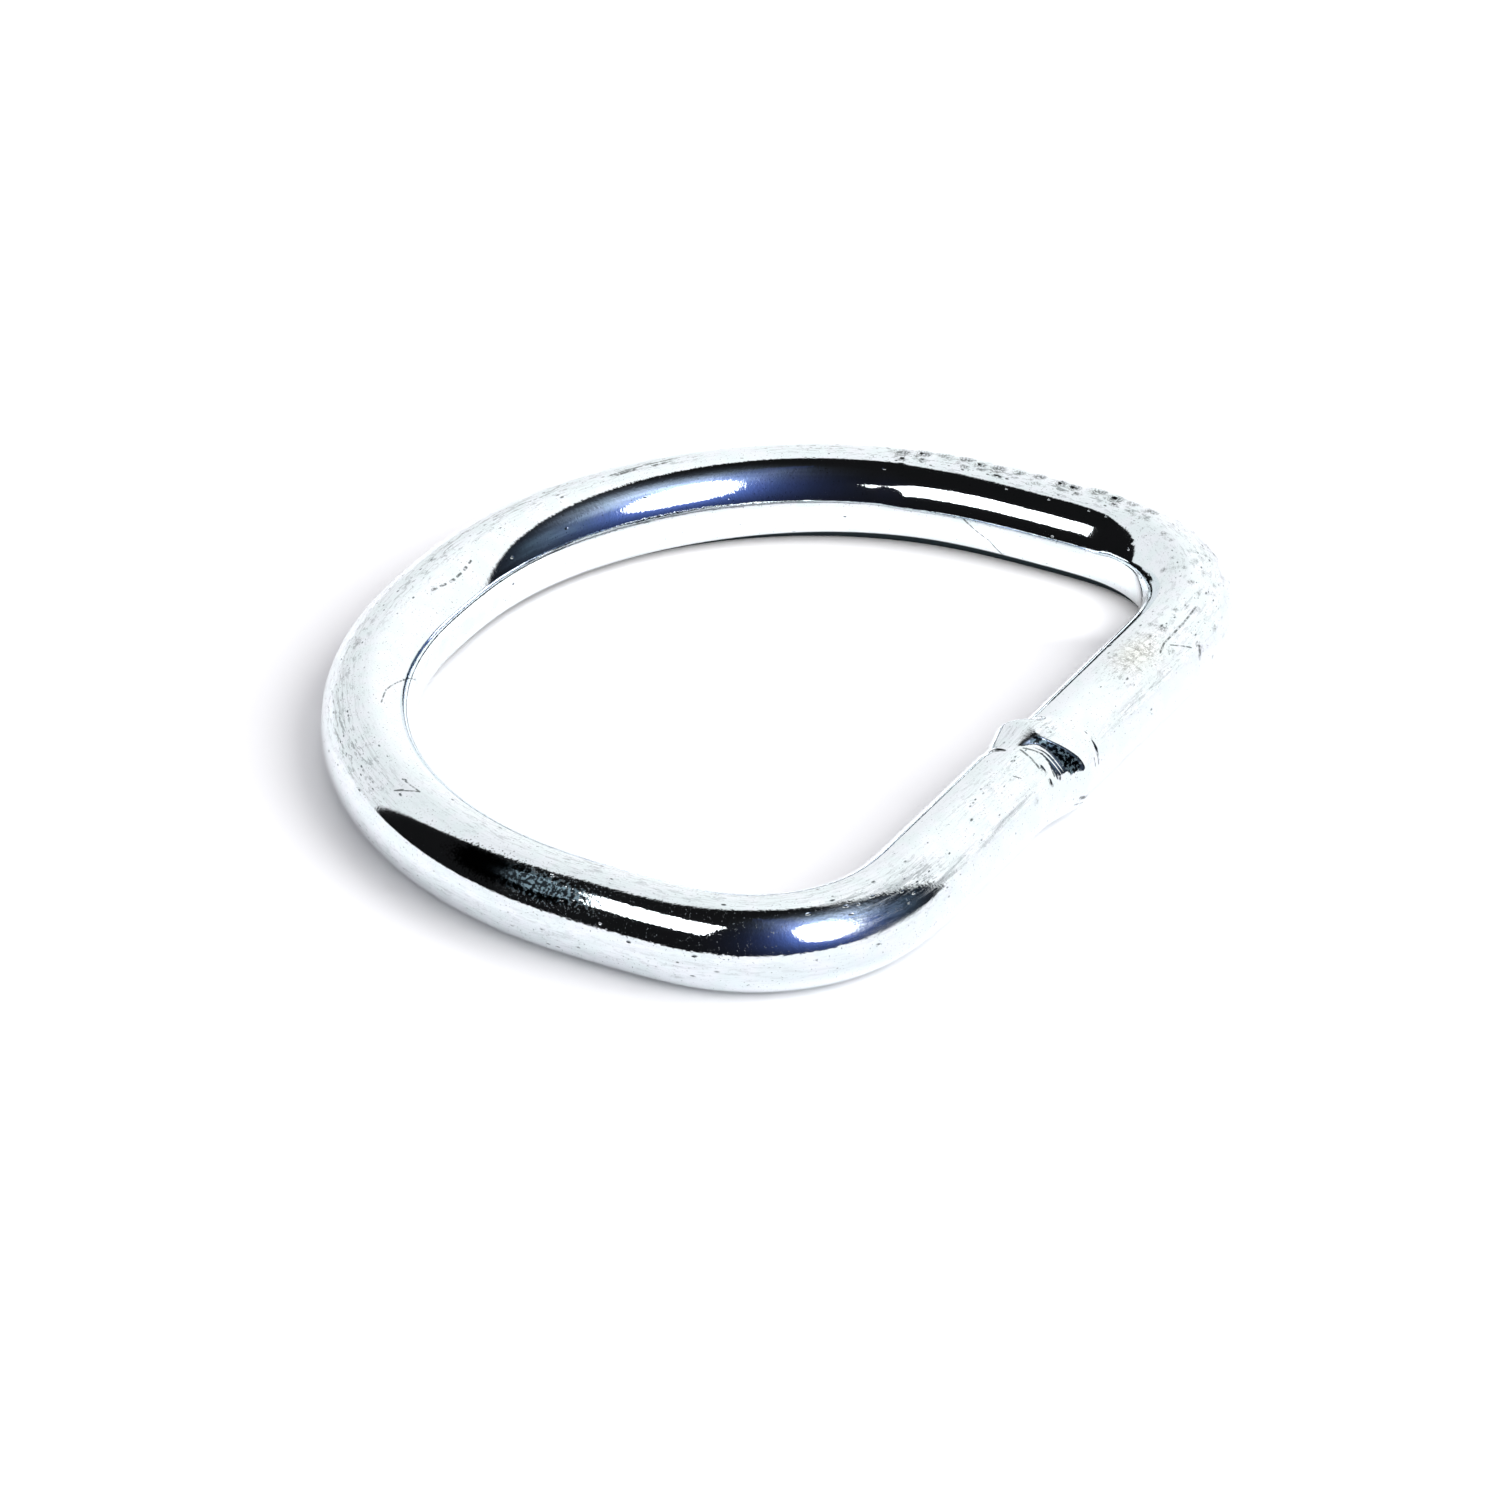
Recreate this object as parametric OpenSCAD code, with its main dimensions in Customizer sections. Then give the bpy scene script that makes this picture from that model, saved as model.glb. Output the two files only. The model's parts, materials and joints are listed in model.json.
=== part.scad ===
// Welded D ring of round steel wire, lying flat.
// The straight bar runs along X, the crown points along +Y, and the ring rests on z = 0.
// The origin is at the middle of the ring's outline, on the surface that it rests on.

/* [Ring] */
// Clear width between the legs
inside_w = 50; // [48:0.5:60]
// Clear depth from the bar to the crown
inside_d = 37; // [32:0.5:45]
// Diameter of the wire
wire_d = 6; // [4:0.25:8]

/* [Bends] */
// Inside radius of the two bends at the ends of the bar
bend_r = 7; // [4:0.25:8]
// Inside radius of the two shoulders, between the legs and the crown
shoulder_r = 23.5; // [18:0.25:24]

/* [Weld] */
// Place of the joint between the wire's two ends, along the bar from its middle
weld_x = -1.2; // [-6:0.1:6]
// Sideways step between the two ends, which don't quite line up
end_step = 0.5; // [0:0.05:0.8]
// Width of the collar of metal that the weld squeezed out
collar_w = 3.8; // [2.4:0.1:6]
// Height of the collar over the wire
collar_h = 0.4; // [0.2:0.05:0.8]
// Shift of the collar towards the inside of the ring
collar_shift = 0.15; // [0:0.05:0.3]
// Number of ridges in the collar
ridge_count = 4; // [1:1:6]
// Depth of the grooves beside the ridges
groove_h = 0.12; // [0.05:0.01:0.18]
// Width of the part of the collar that has ridges, counted from its near edge
ridged_w = 2.2; // [1:0.1:2.3]

/* [Jaw marks] */
// Number of dents that a gripping tool left in a row on top of the far leg
mark_count = 14; // [1:1:16]
// Distance between two dents, along the wire
mark_pitch = 1.36; // [1:0.02:1.5]
// Distance along the wire from the start of the far bend to the first dent
mark_start = 11.6; // [8:0.2:14]
// Radius of the rounded tooth that made each dent
tooth_r = 0.9; // [0.5:0.05:1.4]
// Depth of each dent
mark_h = 0.14; // [0.06:0.01:0.25]

/* [Hidden] */
$fn = 96;

wire_r = wire_d / 2;
leg_x = inside_w / 2 + wire_r;          // from the middle to a leg's centreline
depth = inside_d + wire_d;              // from the bar's centreline to the crown's
bend = bend_r + wire_r;                 // radius of a bend's centreline
shoulder = shoulder_r + wire_r;         // radius of a shoulder's centreline
bar_y = (end_step / 2 - depth) / 2;     // puts the outline's middle at y = 0
crown_y = bar_y + depth;

// A straight length of wire that starts at a point and runs towards +X.
module wire_along_x(start, length) {
    translate([start.x, start.y, wire_r])
        rotate([0, 90, 0])
            cylinder(h = length, r = wire_r);
}

// A straight length of wire that starts at a point and runs towards +Y.
module wire_along_y(start, length) {
    translate([start.x, start.y, wire_r])
        rotate([-90, 0, 0])
            cylinder(h = length, r = wire_r);
}

// A quarter turn of wire about a centre. It starts towards first_angle, seen from the centre.
module quarter_bend(centre, radius, first_angle) {
    translate([centre.x, centre.y, wire_r])
        rotate([0, 0, first_angle])
            rotate_extrude(angle = 90)
                translate([radius, 0])
                    circle(r = wire_r);
}

// Half of the ring on the +X side: half bar, bend, leg, shoulder and half crown.
// line_y is where its bar lies, and joint_x is where that bar starts.
module half_ring(line_y, joint_x) {
    bend_centre = [leg_x - bend, line_y + bend];
    shoulder_centre = [leg_x - shoulder, crown_y - shoulder];
    wire_along_x([joint_x, line_y], bend_centre.x - joint_x);
    quarter_bend(bend_centre, bend, -90);
    wire_along_y([leg_x, bend_centre.y], shoulder_centre.y - bend_centre.y);
    quarter_bend(shoulder_centre, shoulder, 0);
    wire_along_x([0, crown_y], shoulder_centre.x);
}

// Collar of squeezed-out metal round the joint: ridges on its near part, then a smooth taper.
// It is lifted by its own height, so it stands proud on top and is flush underneath.
module weld_collar() {
    top_r = wire_r + collar_h;
    groove_r = top_r - groove_h;
    foot_r = wire_r - collar_h;
    ridge_pitch = ridged_w / ridge_count;
    ridges = [for (i = [0 : ridge_count - 1])
        each [[groove_r, i * ridge_pitch], [top_r, (i + 0.5) * ridge_pitch]]];
    profile = concat(
        [[0, 0], [foot_r, 0]],
        ridges,
        [[groove_r, ridged_w], [foot_r, collar_w], [0, collar_w]]);
    translate([weld_x - collar_w / 2, bar_y + collar_shift, wire_r + collar_h])
        rotate([0, 90, 0])
            rotate_extrude()
                polygon(profile);
}

// Point on the far leg's centreline at a distance along the wire from the start of its bend.
function far_point(along) =
    let (line_y = bar_y - end_step / 2,
         bend_centre = [leg_x - bend, line_y + bend],
         shoulder_centre = [leg_x - shoulder, crown_y - shoulder],
         leg_length = shoulder_centre.y - bend_centre.y,
         degrees_per_mm = 180 / PI,
         up_the_leg = along - bend * 90 / degrees_per_mm,
         bend_angle = along / bend * degrees_per_mm,
         shoulder_angle = (up_the_leg - leg_length) / shoulder * degrees_per_mm)
    up_the_leg < 0 ? bend_centre + bend * [sin(bend_angle), -cos(bend_angle)] :
    up_the_leg < leg_length ? [leg_x, bend_centre.y + up_the_leg] :
    shoulder_centre + shoulder * [cos(shoulder_angle), sin(shoulder_angle)];

// Teeth that press the row of dents into the top of the far leg.
module jaw_teeth() {
    for (i = [0 : mark_count - 1]) {
        spot = far_point(mark_start + i * mark_pitch);
        translate([spot.x, spot.y, wire_d + tooth_r - mark_h])
            sphere(r = tooth_r);
    }
}

// The whole ring, one piece of metal.
module ring() {
    color([0.82, 0.84, 0.87])
        difference() {
            union() {
                half_ring(bar_y - end_step / 2, weld_x);
                mirror([1, 0, 0])
                    half_ring(bar_y + end_step / 2, -weld_x);
                weld_collar();
            }
            jaw_teeth();
        }
}

ring();
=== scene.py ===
"""Looks of a welded D ring of round steel wire with bright zinc plating, lying on a pale floor.

Lengths are millimetres up to the mesh, which is made in metres. A place on the wire has two values.
along is the distance round the ring, from the middle of the bar towards +X. turn is the angle round
the wire in degrees: 0 is the outer side of the ring, 90 the top and 180 the inner side.
"""
import json
import math
import random

import bpy
import numpy as np
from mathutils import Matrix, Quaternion, Vector, noise


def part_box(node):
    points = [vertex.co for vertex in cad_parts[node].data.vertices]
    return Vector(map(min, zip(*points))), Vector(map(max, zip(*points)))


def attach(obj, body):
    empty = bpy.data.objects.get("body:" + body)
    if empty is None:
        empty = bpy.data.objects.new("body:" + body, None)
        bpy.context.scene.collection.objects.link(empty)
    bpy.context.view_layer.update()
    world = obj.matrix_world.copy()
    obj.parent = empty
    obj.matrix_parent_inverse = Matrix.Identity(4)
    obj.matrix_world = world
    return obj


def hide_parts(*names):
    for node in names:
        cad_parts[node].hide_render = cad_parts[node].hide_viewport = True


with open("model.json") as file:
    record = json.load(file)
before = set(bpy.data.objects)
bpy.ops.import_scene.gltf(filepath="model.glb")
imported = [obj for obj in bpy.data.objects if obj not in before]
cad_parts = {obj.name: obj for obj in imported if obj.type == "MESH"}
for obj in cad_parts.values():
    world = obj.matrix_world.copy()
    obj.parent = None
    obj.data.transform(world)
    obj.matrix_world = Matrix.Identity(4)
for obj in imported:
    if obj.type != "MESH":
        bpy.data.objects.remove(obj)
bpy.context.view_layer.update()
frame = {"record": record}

MM = 0.001

# Sizes of the ring, from the frame
MOUNTS = {mount["name"]: mount for mount in frame["record"]["mounts"]}
STRAP_BAR = MOUNTS["strap_bar"]
CROWN = MOUNTS["crown"]
LOWEST, HIGHEST = (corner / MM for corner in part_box("ring"))
WIRE_R = STRAP_BAR["dims"]["r_mm"]
BAR_Y = STRAP_BAR["pos_m"][1] / MM
CROWN_Y = CROWN["pos_m"][1] / MM
HALF_BAR = STRAP_BAR["dims"]["length_mm"] / 2
HALF_CROWN = CROWN["dims"]["length_mm"] / 2
LEG_X = HIGHEST.x - WIRE_R
BEND_R = LEG_X - HALF_BAR
SHOULDER_R = LEG_X - HALF_CROWN
END_STEP = 2 * (BAR_Y - WIRE_R - LOWEST.y)
FAR_LEG = CROWN_Y - BAR_Y + END_STEP / 2 - BEND_R - SHOULDER_R
NEAR_LEG = FAR_LEG - END_STEP

# Stretches of wire in order: length, and curvature to the left
STRETCHES = [
    (HALF_BAR, 0),
    (BEND_R * math.pi / 2, 1 / BEND_R),
    (FAR_LEG, 0),
    (SHOULDER_R * math.pi / 2, 1 / SHOULDER_R),
    (2 * HALF_CROWN, 0),
    (SHOULDER_R * math.pi / 2, 1 / SHOULDER_R),
    (NEAR_LEG, 0),
    (BEND_R * math.pi / 2, 1 / BEND_R),
    (HALF_BAR, 0),
]
WIRE_LENGTH = sum(length for length, curvature in STRETCHES)
FAR_BEND_START = HALF_BAR
FAR_LEG_START = FAR_BEND_START + BEND_R * math.pi / 2

# Route of the wire: its curvature changes over an easing length on each side of a join
ROUTE_STEPS = 8000
EASE_LENGTH = 5.0

# Mesh of the wire: the pitch of its rings changes with the detail that they carry
SIDES = 140
RING_PITCHES = [
    # up to this distance along the wire, pitch
    (2.4, 0.05),
    (9.0, 0.22),
    (FAR_LEG_START - 4, 0.16),
    (FAR_LEG_START + 17, 0.13),
    (WIRE_LENGTH - 5.2, 0.48),
    (WIRE_LENGTH - 3.9, 0.10),
    (WIRE_LENGTH, 0.05),
]

# Weld, at some turns: where along the bar its ramp starts and ends, where the flash ends, and the
# height of the flash. The near half of the bar steps over to the line of the far half at the ramp.
WELD_SECTIONS = [
    # turn, ramp start, ramp end, flash end, height
    (-60, -2.4, 0.0, 1.4, 0.05),
    (-30, -2.2, 0.0, 1.6, 0.20),
    (-8, -1.8, 0.0, 1.7, 0.14),
    (15, -1.2, 0.0, 1.8, 0.10),
    (22, -1.35, 0.0, 1.8, 0.05),
    (30, -1.5, -0.05, 1.9, 0.02),
    (44, -1.6, -0.4, 1.9, 0.03),
    (57, -1.6, -0.75, 1.9, 0.08),
    (70, -1.65, -1.1, 1.9, 0.15),
    (80, -1.8, -1.4, 1.9, 0.28),
    (88, -2.9, -0.95, 1.8, 0.42),
    (97, -3.2, -0.9, 1.8, 0.60),
    (105, -3.3, -0.8, 1.7, 0.76),
    (115, -3.2, -0.8, 1.5, 0.84),
    (126, -3.2, -0.75, 1.4, 0.88),
    (141, -2.2, -0.7, 1.2, 0.82),
    (158, -2.2, -0.6, 1.2, 0.35),
    (180, -2.4, 0.0, 1.4, 0.00),
]

# Half width in degrees over which sections are averaged, rounding of the ramp's corners, and the
# share of the step between the bar's two lines that the ramp takes
SECTION_BLEND = 4
RAMP_EDGE = 0.13
RAMP_SHARE = 0.7

# Ridges before the ramp, and the step at the edge of the flash's lip
RIDGES_W = 0.95
RIDGES_RISE = 0.3
RIDGES_GAP = 0.1
RIDGES_FALL = 0.15
RIDGES_TURN = 46
RIDGES_SPAN = 30
RIDGE_PITCH = 0.27
RIDGE_H = 0.012
LIP_STEP_X = -3.47
LIP_STEP_RISE = 0.08
LIP_STEP_FALL = 1.6
LIP_STEP_TURN = 109
LIP_STEP_SPAN = 11
LIP_STEP_H = 0.12

# A lump and a hooked groove beside the ridges, and thin grooves at the flash's end
WELD_MARKS = [
    # place along the bar, half length, turn, half width in degrees, height
    (-2.85, 0.42, 47, 11.46, 0.045),
    (-2.40, 0.09, 42, 11.46, -0.030),
    (1.90, 0.10, 20, 14, -0.050),
    (1.38, 0.08, 14, 8, -0.030),
    (1.90, 0.09, 50, 6, -0.020),
]

# Row of marks that a gripping tool left on top of the far leg, with a small bump beside each, nicks
# on its inner side, and the flats that it pressed. A size is a radius along the wire and one across.
JAW_COUNT = 14
JAW_PITCH = 1.36
JAW_START = FAR_BEND_START + 12.4
JAW_TURN = 84
JAW_SEED = 4
BUMP_SIZE = (0.22, 0.15)
NICK_TURN = 100
NICK_SIZE = (0.34, 0.15)
NICK_DEPTH = 0.05
SMALL_NICK_SIZE = (0.16, 0.13)
SMALL_NICK_DEPTH = 0.03
JAW_FLATS = [
    # turn, half width in degrees, depth
    (97, 20, 0.05),
    (150, 26, 0.10),
]
JAW_FLATS_START = 30
JAW_FLATS_RISE = 2.5
JAW_FLATS_END = 46.5
JAW_FLATS_FALL = 3

# Pits over the far bend and the bar beside it
PIT_COUNT = 90
PIT_SEED = 11
PIT_STRETCH = (9.5, 31)
PIT_TURN = 74
PIT_TURN_SPREAD = 30
PIT_DEPTH_SHARE = 0.14

# Section of a dent, with distances from its middle as shares of its radius
DENT_REACH = 2.5
RIM_AT = 1.1
RIM_WIDTH = 0.22
RIM_H_SHARE = 0.35
DIRT_AT = 0.55
DIRT_WIDTH = 0.45

# Single dents: along, turn, radius along the wire, radius across it, depth, dirt
DENTS = [
    (14.9, 76, 0.36, 0.30, 0.06, 0.9),
    (23.2, 122, 0.32, 0.24, 0.05, 0.9),
    (25.9, 53, 0.26, 0.20, 0.04, 0.7),
    (23.6, 82, 0.20, 0.18, 0.03, 0.7),
    (20.9, 85, 0.24, 0.24, 0.04, 0.8),
    (18.5, 29, 0.22, 0.18, 0.03, 0.8),
    (24.6, 66, 0.18, 0.24, 0.03, 0.6),
    (22.4, 70, 0.16, 0.26, 0.03, 0.6),
    (94.2, 67, 0.60, 0.22, 0.02, 0.6),
    (91.5, 74, 0.50, 0.12, 0.02, 0.5),
    (86.2, 114, 0.22, 0.10, 0.03, 0.8),
    (132.9, -40, 0.22, 0.14, 0.03, 0.7),
    (134.2, -25, 0.16, 0.12, 0.03, 0.6),
    (125.0, 46, 2.40, 0.40, 0.03, 0.0),
    (163.5, 48, 0.16, 0.14, 0.03, 0.9),
    (163.5, 28, 0.14, 0.16, 0.03, 0.9),
    (164.5, 24, 0.16, 0.14, 0.03, 0.7),
    (161.4, 22, 0.26, 0.18, 0.03, 0.6),
    (162.8, -19, 0.20, 0.14, 0.03, 0.5),
]

# Dark film, painted near black: burnt metal on the weld's ramp, which also deepens the ramp's dark
# reflection, and painted shade that blots out the panel's reflection where the near leg begins
BURNT_FROM_X = -2.1
BURNT_FADE = 0.25
BURNT_TURN_START = 14
BURNT_TURN_RISE = 14
BURNT_TURN_END = 80
BURNT_TURN_FALL = 9
PAINTED_SHADE_START = 117
PAINTED_SHADE_RISE = 4
PAINTED_SHADE_END = 124.8
PAINTED_SHADE_FALL = 6
PAINTED_SHADE_TURN = 45
PAINTED_SHADE_SPAN = 14

# Flaking of the plating on the bar before the far bend
FLAKES_ALONG = 11.3
FLAKES_LENGTH = 2.2
FLAKES_TURN = 76
FLAKES_SPAN = 22
FLAKES_H = 0.09
FLAKES_PER_MM = 1.6

# Slight unevenness of the whole surface: size and height of its broad and its close waves
BROAD_WAVE = 7.0
BROAD_WAVE_H = 0.009
CLOSE_WAVE = 2.2
CLOSE_WAVE_H = 0.002
CLOSE_WAVE_SHIFT = (40, 0, 0)

# Half width in degrees of the underside that stays plain, so that the ring lies flat
PLAIN_UNDERSIDE = 25

# Areas of wear: along, turn, half length, half width in degrees, speckles, drawn lines, haze. The haze
# also greys the tint; on the near leg's outer lower face that grey is painted shade.
WEAR = [
    (103.0, 50, 9.0, 26, 0.75, 0.9, 0.5),
    (93.0, 60, 9.0, 20, 0.35, 0.7, 0.3),
    (78.0, 84, 14.0, 16, 0.20, 0.8, 0.2),
    (64.5, 88, 4.0, 9, 0.45, 1.0, 0.4),
    (53.0, 84, 4.0, 12, 0.35, 0.8, 0.3),
    (40.0, 92, 12.0, 18, 0.95, 0.2, 0.4),
    (21.0, 78, 10.0, 50, 0.40, 0.1, 0.3),
    (10.8, 74, 3.6, 24, 0.95, 0.3, 0.7),
    (9.5, 34, 7.0, 8, 0.45, 0.2, 1.0),
    (155.0, 34, 8.0, 9, 0.25, 0.2, 1.0),
    # This row greys the near leg's outer lower face: haze, and painted shade for its darker reflection
    # of the shaded floor
    (128.0, -8, 16.0, 22, 0.20, 0.3, 0.7),
    (160.0, 78, 7.0, 30, 0.30, 0.3, 0.2),
    (146.0, 52, 4.6, 34, 0.60, 0.8, 1.0),
    (130.0, 96, 18.0, 26, 0.06, 0.5, 0.3),
    (125.2, 45, 3.2, 6, 0.70, 0.8, 1.0),
    (112.0, -12, 7.0, 22, 0.40, 0.3, 0.3),
    (164.2, 108, 1.3, 16, 0.40, 0.6, 0.8),
    (166.0, 88, 1.6, 16, 0.90, 0.6, 0.8),
]

# Scratches, each a width and a line of places: along, turn
SCRATCHES = {
    "hair on the near shoulder": (
        0.10,
        [(101.8, 104), (100, 112), (99.1, 120), (96.4, 146), (95.6, 157)],
    ),
    "arrow on the near shoulder": (0.11, [(111.3, 77), (113.2, 80), (111.8, 60), (112.2, 68)]),
    "chain on the crown 1": (0.18, [(86.3, 113.5), (85.9, 115.5)]),
    "chain on the crown 2": (0.17, [(85.5, 117.5), (85.0, 119.8)]),
    "chain on the crown 3": (0.20, [(84.5, 121.6), (84.1, 122.3)]),
    "chain on the crown 4": (0.16, [(83.7, 122.3), (83.2, 122.1)]),
    "chain on the crown 5": (0.20, [(82.7, 121.4), (82.4, 120.6)]),
    "chain on the crown 6": (0.15, [(81.9, 119.0), (81.6, 118.0)]),
    "long line on the far bend": (0.13, [(18.5, 64), (16.2, 62), (13.7, 61), (12.7, 56)]),
    "cut on the far bend": (0.28, [(16.3, 28), (15.9, 16)]),
    "line by the far bend": (0.09, [(14.0, 54), (15.5, 34)]),
    "line inside the far leg": (0.12, [(42.8, 166), (41.7, 179), (40.5, 191), (39.6, 214)]),
    "line on the far shoulder": (0.12, [(67.4, 91), (62.6, 84)]),
    "thick line beside it": (0.20, [(67.0, 94), (65.6, 92)]),
    "dots beside it": (0.18, [(64.4, 92), (63.4, 91)]),
}

# Scratches and seams round the weld, with places along the bar from its middle instead
WELD_LINES = {
    "seam under the lip": (0.15, [(-3.42, 119), (-3.52, 99)]),
    "first seam by the ridges": (0.17, [(-2.95, 82), (-3.1, 72), (-3.25, 60), (-3.35, 50)]),
    "second seam by the ridges": (0.15, [(-2.7, 83), (-2.4, 70), (-2.2, 60)]),
    "third seam by the ridges": (0.10, [(-2.15, 74), (-1.95, 60), (-1.85, 46)]),
    "hook": (0.16, [(-2.25, 56), (-2.3, 47), (-2.5, 36), (-2.55, 30)]),
    "spot under the lump": (0.24, [(-3.2, 28), (-3.12, 23)]),
    "spot by the ridges": (0.16, [(-2.15, 27), (-2.1, 24)]),
    "groove at the flash's end": (0.17, [(1.95, 30), (1.95, 20), (1.8, 8)]),
    "groove beside it": (0.12, [(1.4, 19), (1.35, 9)]),
    "smudge outside": (0.24, [(-0.5, -17), (0.1, -21), (0.6, -20)]),
    "line outside": (0.10, [(-0.9, -24), (0.2, -30), (1.2, -30)]),
    "short scratch": (0.08, [(-5.6, 64), (-5.3, 56)]),
}

# Stretches where grain roughens the edges of the reflections: start, full from, full to, end
ROUGH_NEAR_LEG = (116, 124, 142, 148)
ROUGH_FAR_SHOULDER = (54, 60, 70, 80)

# Painted shade: a dark line on the inner side, low on the wire, painted as the reflection of the shade
# where the ring meets the floor.
# Its upper edge is the cosine of the angle from the underside, at two places along the wire.
CONTACT_STRETCH = (12, 26, 84, 100)
CONTACT_EDGE_PLACES = (44, 76)
CONTACT_EDGES = (0.50, 0.82)

# Names of the masks that the mesh hands to the material
WEAR_MASKS = ("speckles", "lines", "haze")
OTHER_MASKS = ("dirt", "stain_and_shade", "flaking")

# Colours of the plating, of what marks it, and of the shade painted on it
CYAN_PLATING = (0.79, 0.86, 0.875, 1)
BLUE_PLATING = (0.835, 0.868, 0.905, 1)
# Grey of the haze, also used as painted shade
HAZE_AND_SHADE_TINT = (0.58, 0.64, 0.66, 1)
STREAK_TINT = (0.42, 0.45, 0.46, 1)
DASH_TINT = (0.20, 0.23, 0.24, 1)
SPECK_TINT = (0.09, 0.11, 0.12, 1)
FLAKE_TINT = (0.86, 0.86, 0.80, 1)
CRACK_TINT = (0.26, 0.27, 0.25, 1)
# Near-black film: burnt metal painted dark enough to deepen the weld's reflection, and painted shade
# where the near leg begins
STAIN_AND_PAINTED_SHADE_TINT = (0.006, 0.008, 0.010, 1)
# Teal mottles in that film, which let part of the panel's reflection through
BLOOM_TINT = (0.10, 0.145, 0.17, 1)
DIRT_TINT = (0.07, 0.08, 0.08, 1)
# Painted shade: the dark contact line
PAINTED_CONTACT_TINT = (0.01, 0.014, 0.016, 1)

# Camera at the photograph's viewing angle
CAMERA_AZIMUTH = -61.35
CAMERA_ELEVATION = 30.33
CAMERA_DISTANCE = 712
CAMERA_TARGET = (-2.02, -2.01, 0)
CAMERA_LENS = 272.1
SENSOR_WIDTH = 36

# Soft lights that shade the floor: azimuth from the camera's side towards its right, and strength
FLOOR_LIGHTS = [(60, 3.2), (0, 1.8), (180, 1.0)]
FLOOR_LIGHT_ELEVATION = 40
FLOOR_LIGHT_SPREAD = 50

# Even light from all sides that fills the floor's shadows
FILL_COLOR = (0.09, 0.085, 0.11, 1)

# Low strip that lights the floor before the far leg: its place, what it faces, and its size
STRIP_PLACE = (16.0, -2.0, 6.0)
STRIP_TARGET = (26.6, 3.8, 1.5)
STRIP_LENGTH = 30
STRIP_WIDTH = 5
STRIP_RADIANCE = 4.0

# Panel close to the ring: its middle as azimuth and elevation, its distance, its size and its roll
PANEL_AZIMUTH = -46
PANEL_ELEVATION = 44.5
PANEL_DISTANCE = 120
PANEL_WIDTH = 86
PANEL_HEIGHT = 48
PANEL_ROLL = 6
PANEL_RADIANCE = 3.5

# Surroundings that the metal mirrors. A middle is an azimuth and an elevation, and a size is half
# the width and half the height, all in degrees.
SWEEP_HALF_WIDTHS = (68, 73)
SWEEP_HALF_HEIGHT = 66
SWEEP_ROUNDNESS = 3.5
SWEEP_LEFT = (0.97, 0.98, 0.99, 1)
SWEEP_RIGHT = (1.22, 1.22, 1.22, 1)
LAMP_MIDDLE = (43.5, 40)
LAMP_SIZE = (18, 20.5)
LAMP_ROUNDNESS = 2.2
LAMP_COLOR = (3.5, 3.55, 3.7, 1)
BLUE_FALL = 1.9
BLUE_COLOR = (0.15, 0.25, 0.78)
HAZE_MIDDLE = (62, 56)
HAZE_RADIUS = 15.5
HAZE_COLOR = (0.74, 0.88, 1.08)
ARCH_MIDDLE = (84, 28)
ARCH_SIZE = (15, 20)
ARCH_COLOR = (0.08, 0.12, 0.16)
ROOM_COLOR = (0.0075, 0.0075, 0.008)
GROUND_COLOR = (1.1, 1.1, 1.1, 1)
BACKDROP_COLOR = (1.05, 1.05, 1.05, 1)

# Floor: half of its side in metres, its colour and its roughness
FLOOR_HALF_SIDE = 8.0
FLOOR_COLOR = (0.88, 0.88, 0.89, 1)
FLOOR_ROUGHNESS = 0.9


def smooth(value):
    """Rises smoothly from 0 to 1 as the value does, and stays level beyond."""
    t = np.clip(value, 0, 1)
    return t * t * (3 - 2 * t)


def bell(distance, width):
    """1 at no distance, falling off like a bell over the width."""
    return np.exp(-np.square(distance / width))


def plateau(value, start, rise, end, fall):
    """Rises from 0 to 1 past the start, over the rise, and falls back past the end, over the fall."""
    return smooth((value - start) / rise) * (1 - smooth((value - end) / fall))


def turn_gap(turn, centre):
    """Signed angle from a centre to a turn, from -180 to 180 degrees."""
    return (turn - centre + 180) % 360 - 180


def bar_place(along):
    """Place along the bar from its middle, below 0 on the near half."""
    return np.where(along < WIRE_LENGTH / 2, along, along - WIRE_LENGTH)


def centreline(along):
    """Points and unit headings of the wire's centreline, with the curvature eased between stretches."""
    step = WIRE_LENGTH / ROUTE_STEPS
    middles = (np.arange(ROUTE_STEPS) + 0.5) * step
    ends = np.cumsum([length for length, curvature in STRETCHES])
    stretch = np.searchsorted(ends, middles).clip(max=len(STRETCHES) - 1)
    curvature = np.array([curvature for length, curvature in STRETCHES])[stretch]
    reach = round(EASE_LENGTH / step)
    window = np.hanning(2 * reach + 1)
    around = np.concatenate([curvature[-reach:], curvature, curvature[:reach]])
    eased = np.convolve(around, window / window.sum(), "valid")
    heading = np.cumsum(eased * step)
    heading_at_middle = heading - eased * step / 2
    steps = np.column_stack([np.cos(heading_at_middle), np.sin(heading_at_middle)]) * step
    route = np.cumsum(steps, axis=0)
    marks = np.arange(ROUTE_STEPS + 1) * step
    route = np.vstack([[0, 0], route])
    route += np.outer(marks / WIRE_LENGTH, np.array([0, END_STEP]) - route[-1])
    route += (0, BAR_Y - END_STEP / 2)
    heading = np.append(0, heading)
    points = np.column_stack([np.interp(along, marks, route[:, axis]) for axis in range(2)])
    headings = np.interp(along, marks, heading)
    return points, np.column_stack([np.cos(headings), np.sin(headings)])


def ring_places():
    """Distances along the wire of the mesh's rings of vertices."""
    places = []
    start = 0.0
    for end, pitch in RING_PITCHES:
        count = round((end - start) / pitch)
        places.extend(start + (end - start) * i / count for i in range(count))
        start = end
    return np.array(places)


def hinge(value):
    """0 below 0 and the value above, with a rounded corner."""
    return (value + np.sqrt(value ** 2 + RAMP_EDGE ** 2)) / 2


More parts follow.
